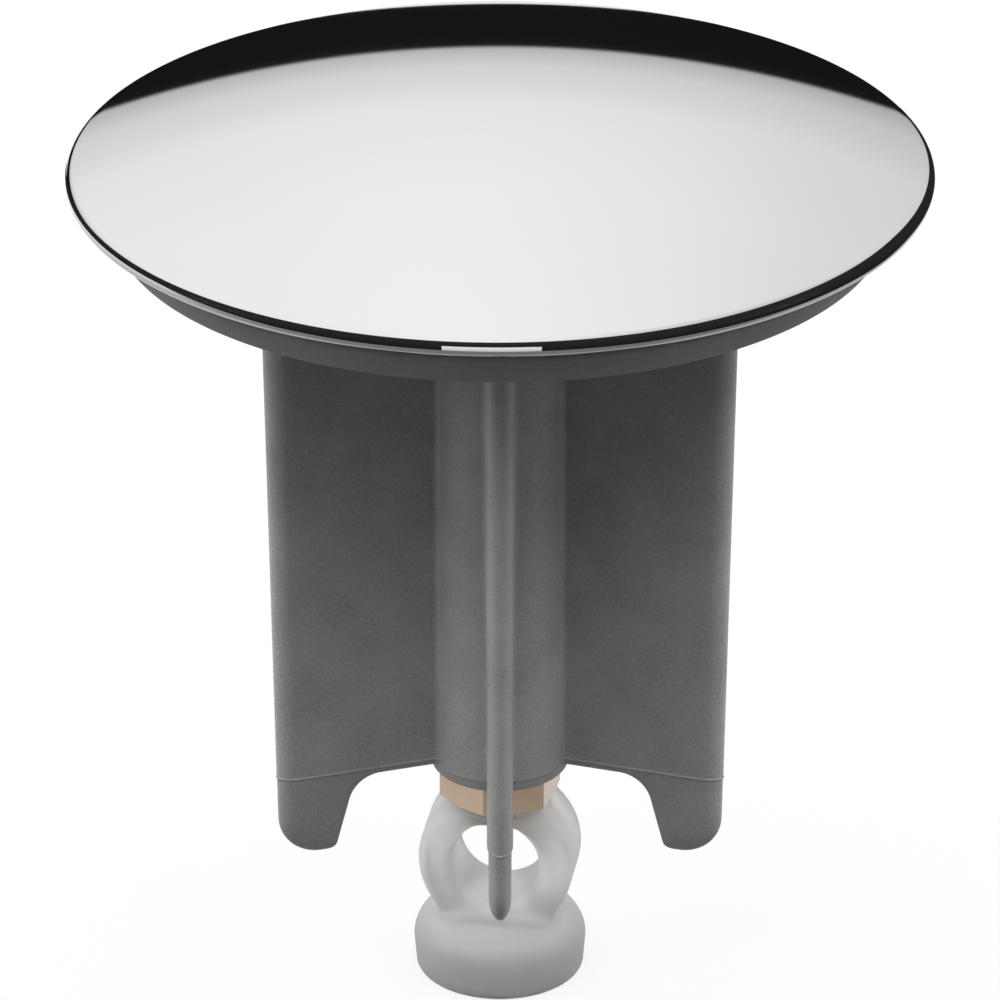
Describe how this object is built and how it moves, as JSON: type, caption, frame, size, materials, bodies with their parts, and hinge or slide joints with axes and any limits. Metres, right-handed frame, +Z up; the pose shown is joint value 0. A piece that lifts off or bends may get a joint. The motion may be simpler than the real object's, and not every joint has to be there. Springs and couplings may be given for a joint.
{
  "type": "drain stopper",
  "caption": "Basin pop-up plug: chromed domed cap on a conical rubber seal, a finned guide body below it, and a screw adjuster with a lock nut and an eye for the lever rod.",
  "frame": {"origin": "centre of the flat underside of the adjuster eye's foot", "axes": "+Z up along the plug's axis to the cap; -Y along the fin that faces the viewer"},
  "size_m": [0.063, 0.063, 0.0715],
  "materials": {
    "chrome": "bright chrome plate on pressed brass sheet",
    "seal": "soft grey elastomer, fine matte grain",
    "guide_plastic": "grey moulded plastic, fine matte grain",
    "brass": "plain turned brass",
    "nut_brass": "dulled brass",
    "eye_plastic": "milky white moulded plastic, slightly waxy"
  },
  "bodies": {
    "guide": {"guide": "guide_plastic", "cap": "chrome", "cap_stud": "brass", "seal_ring": "seal", "upper_bush": "brass", "lower_bush": "brass"},
    "adjuster_stud": {"adjuster_stud": "brass"},
    "adjuster_eye": {"adjuster_eye": "eye_plastic"},
    "lock_nut": {"lock_nut": "nut_brass"}
  },
  "joints": [
    {"name": "stud_travel", "type": "slide", "parent": "guide", "child": "adjuster_stud", "axis": [0, 0, -1], "range_m": [0, 0.01]},
    {"name": "eye_turn", "type": "hinge", "parent": "adjuster_stud", "child": "adjuster_eye", "pos_m": [0, 0, 0.0099], "axis": [0, 0, -1], "range_deg": [0, 4502]},
    {"name": "nut_turn", "type": "hinge", "parent": "guide", "child": "lock_nut", "pos_m": [0, 0, 0.01617], "axis": [0, 0, 1], "continuous": true}
  ],
  "couplings": [
    {"joint": "eye_turn", "follows": "stud_travel", "rad_per_m": 7854}
  ]
}
